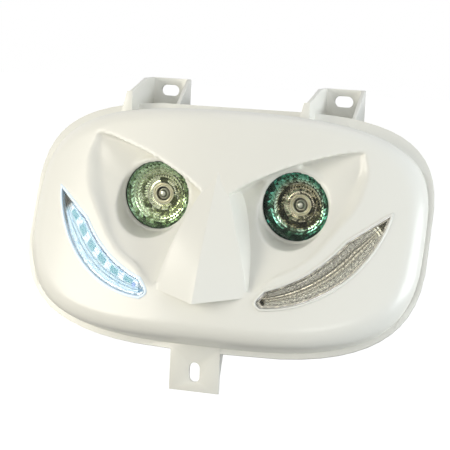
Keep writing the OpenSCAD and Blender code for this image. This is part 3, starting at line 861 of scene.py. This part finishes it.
burner_pale, burner_dark = (0.92, 0.88, 0.74), (0.2, 0.19, 0.14)
burner_rings = [
    (0.06, burner_pale), (0.08, burner_dark), (0.11, burner_dark), (0.125, burner_pale),
    (0.16, (0.5, 0.48, 0.4)),
]


def burner_finish(side):
    name = "capsule_quartz_" + sides[side].strip("_")
    mat, nodes, links, shader = finish(
        name, (0.72, 0.7, 0.62), 0.18, Metallic=0.5, Transmission_Weight=0.2, IOR=1.45,
    )
    colour_from(nodes, links, from_axis(nodes, links, side), shader.inputs["Base Color"], burner_rings)
    return mat


burners = {side: burner_finish(side) for side in sides}
print("burners:", [m.name for m in burners.values()])

# %% [markdown]
# The two reflectors look different in the photograph, because each is seen at its own angle: the
# left one pale green throughout, the right one brown inside with a deep green rim. So each has its own rings
# of colour, partly the coating's own colour and partly painted reflection, and its own range of facet tones,
# whose pale ends are painted glints.

# %% Dichroic reflectors
# Colour rings of each reflector: the coating's colour mixed with painted reflection.
coating_and_reflection_rings = {
    -1: [(0.3, (1, 0.97, 0.8)), (0.5, (1, 0.99, 0.78)), (0.7, (0.86, 0.94, 0.68)),
         (0.88, (0.6, 0.82, 0.6)), (0.97, (0.2, 0.34, 0.22))],
    1: [(0.3, (0.86, 0.76, 0.58)), (0.6, (0.84, 0.74, 0.54)), (0.7, (0.66, 0.86, 0.7)),
        (0.8, (0.3, 0.8, 0.62)), (0.93, (0.08, 0.55, 0.41)), (0.97, (0.02, 0.2, 0.14))],
}
# Facet tone to brightness: the pale, white end of each ramp paints the glints on the facets.
tone_and_glint_ramps = {
    -1: [(0.05, (0.12, 0.13, 0.08)), (0.3, (0.38, 0.42, 0.28)), (0.5, (0.85, 0.85, 0.8)), (0.65, (1, 1, 1))],
    1: [(0.1, (0.03, 0.035, 0.02)), (0.36, (0.13, 0.13, 0.09)), (0.56, (0.6, 0.6, 0.55)), (0.76, (1, 1, 1))],
}


def mixer(nodes, kind, share=1.0):
    """Colour mix of its inputs A and B."""
    blend = nodes.new("ShaderNodeMix")
    blend.data_type, blend.blend_type = "RGBA", kind
    blend.inputs["Factor"].default_value = share
    return blend


def reflector_finish(side):
    name = "reflector_dichroic_" + sides[side].strip("_")
    mat, nodes, links, shader = finish(name, (0.3, 0.36, 0.2), 0.2, Metallic=1.0)
    tone = nodes.new("ShaderNodeAttribute")
    tone.attribute_name = "facet_tone"
    blend = mixer(nodes, "MULTIPLY")
    colour_from(nodes, links, from_axis(nodes, links, side), blend.inputs["A"], coating_and_reflection_rings[side])
    colour_from(nodes, links, tone.outputs["Fac"], blend.inputs["B"], tone_and_glint_ramps[side])
    links.new(blend.outputs["Result"], shader.inputs["Base Color"])
    return mat


reflectors = {side: reflector_finish(side) for side in sides}
print("reflectors:", [m.name for m in reflectors.values()])

# %% [markdown]
# In the photograph the left cheek light is on and the right one off. Both bars share one recipe:
# colours across the strip from v, a stretched speckle for the prisms, and changes along the strip
# from u. Their colours are listed first, the unlit metal's and then the lit bar's.

# %% Colours of the light bars
metal_tones = {
    "across": [
        (0.0, (0.3, 0.28, 0.2)), (0.12, (0.5, 0.48, 0.4)), (0.3, (0.42, 0.4, 0.32)),
        (0.36, (0.13, 0.12, 0.07)), (0.43, (0.75, 0.7, 0.56)), (0.52, (0.22, 0.2, 0.13)),
        (0.6, (0.7, 0.66, 0.52)), (0.68, (0.34, 0.32, 0.24)), (0.8, (0.55, 0.53, 0.43)),
        (1.0, (0.4, 0.38, 0.3)),
    ],
    # Along the unlit bar: darker at the upper tip, then two painted reflection bars brighter than white.
    "along": [
        (0.0, (0.4, 0.4, 0.34)), (0.11, (0.4, 0.4, 0.34)), (0.115, (2, 2, 2)), (0.125, (2, 2, 2)),
        (0.128, (0.5, 0.5, 0.45)), (0.133, (0.5, 0.5, 0.45)), (0.136, (2, 2, 2)),
        (0.146, (2, 2, 2)), (0.15, (1, 1, 1)), (1.0, (1, 1, 1)),
    ],
    "speckle": [(0.34, (0.35, 0.35, 0.33)), (0.62, (1.3, 1.3, 1.3))],
    "stretch": (70, 22, 1),
}
glowing_tones = {
    "across": [
        (0.0, (0.03, 0.12, 0.26)), (0.05, (0.04, 0.15, 0.3)), (0.1, (0.62, 0.84, 1)),
        (0.54, (0.75, 0.92, 1)), (0.6, (0.1, 0.32, 0.45)), (0.66, (0.7, 0.88, 1)),
        (0.74, (0.5, 0.75, 0.9)), (0.78, (0.08, 0.28, 0.42)), (0.84, (0.75, 0.92, 1)),
        (1.0, (0.55, 0.8, 0.95)),
    ],
    "along": [(0.0, (0, 0, 0)), (0.13, (0, 0, 0)), (0.17, (1, 1, 1)), (1.0, (1, 1, 1))],
    "speckle": [(0.38, (0.4, 0.65, 0.82)), (0.52, (1, 1, 1))],
    "stretch": (26, 16, 1),
}
diode_glow = [(0.0, (0.1, 0.45, 0.55)), (0.25, (0.4, 0.75, 0.85)), (0.5, (1, 1, 1))]
glow_band = [(0.16, (0, 0, 0)), (0.22, (1, 1, 1)), (0.48, (1, 1, 1)), (0.56, (0, 0, 0))]
print("tones across a bar:", len(metal_tones["across"]), "unlit,", len(glowing_tones["across"]), "lit")

# %% [markdown]
# The unlit bar is metallised and only reflects its pattern. The lit one gives its pattern off as
# light, with a row of bright spots where the diodes shine through and one blue diode at its end.

# %% Light bar finishes
spots, end_diode, end_diode_long = 7.5, (0.95, 0.5), 11


def stepped(nodes, links, source, kind, operation, value=None):
    """One step of maths on a value or a vector."""
    step = nodes.new(kind)
    step.operation = operation
    links.new(source, step.inputs[0])
    if value is not None:
        step.inputs[1].default_value = value
    return step


def spots_along(nodes, links, u):
    """Wave along the strip, high at each diode."""
    turns = stepped(nodes, links, u, "ShaderNodeMath", "MULTIPLY", 2 * math.pi * spots)
    return stepped(nodes, links, turns.outputs[0], "ShaderNodeMath", "SINE").outputs[0]


def from_end_diode(nodes, links, uv):
    """Distance on the strip from the diode at its lower end."""
    shift = stepped(nodes, links, uv, "ShaderNodeVectorMath", "SUBTRACT", (*end_diode, 0))
    wide = stepped(nodes, links, shift.outputs[0], "ShaderNodeVectorMath", "MULTIPLY", (end_diode_long, 1, 0))
    return stepped(nodes, links, wide.outputs[0], "ShaderNodeVectorMath", "LENGTH").outputs["Value"]


def speckle_on(nodes, links, uv, stretch):
    """Speckle on the strip, stretched to the size of its prisms."""
    scaled = nodes.new("ShaderNodeMapping")
    scaled.inputs["Scale"].default_value = stretch
    speckle = nodes.new("ShaderNodeTexNoise")
    speckle.inputs["Scale"].default_value = 1.0
    speckle.inputs["Detail"].default_value = 2
    links.new(uv, scaled.inputs["Vector"])
    links.new(scaled.outputs["Vector"], speckle.inputs["Vector"])
    return speckle.outputs["Fac"]


def bar_pattern(nodes, links, tones):
    """Pattern of a bar: tones across it, then the speckle, then tones along it."""
    strip = nodes.new("ShaderNodeUVMap")
    strip.uv_map = "strip"
    place = nodes.new("ShaderNodeSeparateXYZ")
    links.new(strip.outputs["UV"], place.inputs[0])
    across, grainy, lengthwise = mixer(nodes, "MIX", 0.0), mixer(nodes, "MULTIPLY"), mixer(nodes, "MULTIPLY")
    speckle = speckle_on(nodes, links, strip.outputs["UV"], tones["stretch"])
    colour_from(nodes, links, place.outputs["Y"], across.inputs["A"], tones["across"])
    colour_from(nodes, links, speckle, grainy.inputs["B"], tones["speckle"])
    colour_from(nodes, links, place.outputs["X"], lengthwise.inputs["B"], tones["along"])
    links.new(across.outputs["Result"], grainy.inputs["A"])
    links.new(grainy.outputs["Result"], lengthwise.inputs["A"])
    return strip.outputs["UV"], place, across, lengthwise


bar_metal, nodes, links, shader = finish("bar_metallised", (0.3, 0.28, 0.22), 0.22, Metallic=0.85)
uv, place, across, lengthwise = bar_pattern(nodes, links, metal_tones)
links.new(lengthwise.outputs["Result"], shader.inputs["Base Color"])

bar_glowing, nodes, links, shader = finish("bar_glowing", (0.12, 0.11, 0.09), 0.22, Metallic=0.0)
uv, place, across, lengthwise = bar_pattern(nodes, links, glowing_tones)
colour_from(nodes, links, spots_along(nodes, links, place.outputs["X"]), across.inputs["B"], diode_glow)
colour_from(nodes, links, place.outputs["Y"], across.inputs["Factor"], glow_band)
blue_end = mixer(nodes, "MIX")
blue_end.inputs["B"].default_value = (0.2, 0.4, 0.8, 1)
end_spot = [(0.14, (1, 1, 1)), (0.2, (0, 0, 0))]
colour_from(nodes, links, from_end_diode(nodes, links, uv), blue_end.inputs["Factor"], end_spot)
links.new(lengthwise.outputs["Result"], blue_end.inputs["A"])
links.new(blue_end.outputs["Result"], shader.inputs["Emission Color"])
shader.inputs["Emission Strength"].default_value = 0.85
print("bars:", bar_metal.name, bar_glowing.name)

# %% [markdown]
# The trays, boards and diodes show only in slivers round the bars. On the lit side the tray has a
# painted blue glow, except at its dark upper tip, and the lip round the window has a painted blue glow as
# well.

# %% Trays, boards, diodes and the painted glow on the lit side
tray_bump, board_bump, diode_bump = (260, 0.9, 0.0012, 3), (500, 0.8, 0.0006, 3), (700, 0.2, 0.0002, 3)
strip_w = led_tip.x - led_end.x
tray_silver = grained("tray_metallised", (0.5, 0.47, 0.38), 0.24, tray_bump, Metallic=0.9)
# Lit tray: a copy of the tray with a painted blue glow, dark at its upper tip.
tray_painted_glow, nodes, links, shader = finish("tray_metallised_painted_glow", (0.34, 0.36, 0.36), 0.24, Metallic=0.9)
grain(nodes, links, shader, *tray_bump)
place, x_of = nodes.new("ShaderNodeTexCoord"), nodes.new("ShaderNodeSeparateXYZ")
from_tip = nodes.new("ShaderNodeMath")
from_tip.operation = "MULTIPLY_ADD"
from_tip.inputs[1].default_value, from_tip.inputs[2].default_value = 1 / strip_w, led_tip.x / strip_w
links.new(place.outputs["Object"], x_of.inputs[0])
links.new(x_of.outputs["X"], from_tip.inputs[0])
tray_painted_glow_ramp = [(0.1, (0, 0, 0)), (0.16, (0.2, 0.5, 0.8))]
colour_from(nodes, links, from_tip.outputs[0], shader.inputs["Emission Color"], tray_painted_glow_ramp)
shader.inputs["Emission Strength"].default_value = 0.3
# Painted glow: the left lip is white plastic that gives off a little blue light of its own.
lip_painted_glow = grained(
    "shell_white_painted_glow", (0.86, 0.88, 0.88), 0.25, mould_bump,
    Emission_Color=(0.4, 0.7, 1.0, 1), Emission_Strength=0.3,
)
board_white = grained("board_white", (0.7, 0.7, 0.68), 0.4, board_bump)
diode_clear = grained("diode_clear", (0.75, 0.74, 0.7), 0.1, diode_bump, Coat_Weight=0.5)
diode_lit = grained(
    "diode_lit", (0.95, 0.97, 1.0), 0.1, diode_bump,
    Emission_Color=(0.82, 0.93, 1.0, 1), Emission_Strength=2.0,
)
print("finishes in all:", len(bpy.data.materials))

# %% [markdown]
# Every CAD part that stays in view and every new piece gets its finish, and every new piece rides on
# the one body. New pieces that stand for a CAD part replace it.

# %% Put the finishes on the pieces
finishes = {"mask_shell": shell_white, "retainer_screws": screw_zinc}
for side, word in sides.items():
    finishes.update({
        word + "lamp_gasket": seal_black,
        word + "lamp_glass": lamp_glass,
        word + "lamp_reflector": reflectors[side],
        word + "lamp_capsule": burners[side],
        word + "lamp_base": ceramic,
        word + "lamp_pins": pin_metal,
        word + "lamp_socket": ceramic,
        word + "lamp_retainer": retainer_black,
        word + "led_lens": lens_lit if side < 0 else lens_clear,
        word + "led_tray": tray_painted_glow if side < 0 else tray_silver,
        word + "led_board": board_white,
        word + "leds": diode_lit if side < 0 else diode_clear,
    })
for name in cad_nodes:
    for holder in bpy.data.objects[name].material_slots:
        holder.material = finishes[name]


def dress(piece, finish_):
    """Give a new piece its finish and its body."""
    piece.data.materials.clear()
    piece.data.materials.append(finish_)
    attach(piece, "root")


for side, word in sides.items():
    dress(bowls[side], reflectors[side])
    dress(bars[side], bar_glowing if side < 0 else bar_metal)
    dress(collars[side], collar_metal)
    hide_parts(word + "lamp_reflector")
for piece in [face, rear] + lips:
    dress(piece, lip_painted_glow if piece is lips[0] else shell_white)
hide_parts("mask_shell")
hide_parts("mask_shell")
print("new pieces:", [p.name for p in [face, rear] + lips + [*bowls.values(), *bars.values()]])

# %% [markdown]
# The mask stands in a pale studio. The floor looks white to the camera through a glow that only the
# camera sees, so it keeps the object's shadow and throws no extra light on it.

# %% Floor
floor_half, floor_z, floor_glow = 4, -0.3, 0.82
bm = bmesh.new()
bmesh.ops.create_grid(bm, x_segments=1, y_segments=1, size=floor_half)
bmesh.ops.translate(bm, verts=bm.verts, vec=(0, 1, floor_z))
floor = new_object("floor", bm)
floor_pale, nodes, links, shader = finish("floor_pale", (0.45, 0.45, 0.44), 0.8)
grain(nodes, links, shader, 40, 0.02, 0.001, 3)
seen = nodes.new("ShaderNodeLightPath")
glow = stepped(nodes, links, seen.outputs["Is Camera Ray"], "ShaderNodeMath", "MULTIPLY", floor_glow)
links.new(glow.outputs[0], shader.inputs["Emission Strength"])
shader.inputs["Emission Color"].default_value = (1, 1, 1, 1)
floor.data.materials.append(floor_pale)
print("floor at", floor_z, "m")

# %% [markdown]
# The background reads white to the camera, in glass and in reflections, where a strength of 1 is
# white. For all other light the world is a weak, even sky.

# %% World
sky_strength = 0.37
world = bpy.data.worlds.new("studio")
bpy.context.scene.world = world
world.use_nodes = True
nodes, links = world.node_tree.nodes, world.node_tree.links
ambient = nodes["Background"]
ambient.inputs["Color"].default_value = (0.95, 0.97, 1, 1)
ambient.inputs["Strength"].default_value = sky_strength
white = nodes.new("ShaderNodeBackground")
white.inputs["Color"].default_value = (1, 1, 1, 1)
white.inputs["Strength"].default_value = 1.0
paths = nodes.new("ShaderNodeLightPath")
either = stepped(nodes, links, paths.outputs["Is Camera Ray"], "ShaderNodeMath", "MAXIMUM")
links.new(paths.outputs["Is Transmission Ray"], either.inputs[1])
glossy = stepped(nodes, links, either.outputs[0], "ShaderNodeMath", "MAXIMUM")
links.new(paths.outputs["Is Glossy Ray"], glossy.inputs[1])
mix = nodes.new("ShaderNodeMixShader")
links.new(glossy.outputs[0], mix.inputs["Fac"])
links.new(ambient.outputs[0], mix.inputs[1])
links.new(white.outputs[0], mix.inputs[2])
links.new(mix.outputs[0], nodes["World Output"].inputs["Surface"])
print("sky strength:", sky_strength)

# %% [markdown]
# The object itself is lit at a plain level. A warm soft lamp stands close to its left, a cool one
# lights the right edge and the nose's right side, and two weak ones fill in from the front and above.

# %% Lamps
def soft_lamp(name, stand, aim, size, watts, colour):
    """Square soft lamp that stands at a point and looks at another."""
    light = bpy.data.lights.new(name, "AREA")
    light.shape, light.size, light.energy, light.color = "SQUARE", size, watts, colour
    lamp = bpy.data.objects.new(name, light)
    bpy.context.scene.collection.objects.link(lamp)
    lamp.location = stand
    lamp.rotation_euler = (Vector(stand) - Vector(aim)).to_track_quat("Z", "Y").to_euler()


mask_middle = (0, 0, -0.09)
soft_lamp("key_left", (-0.78, -0.8, 0.12), mask_middle, 0.6, 6.6, (1, 0.95, 0.83))
soft_lamp("fill_right", (1.5, -0.3, 0.05), mask_middle, 0.8, 14, (0.92, 0.97, 1))
soft_lamp("front", (0.55, -1.9, 0.35), (0, 0, -0.05), 0.5, 2.5, (1, 0.99, 0.95))
soft_lamp("top", (0, 0.1, 1.4), mask_middle, 1.0, 2.5, (1, 1, 1))
bpy.context.scene.view_settings.view_transform = "Standard"
print("lamps:", len(bpy.data.lights))
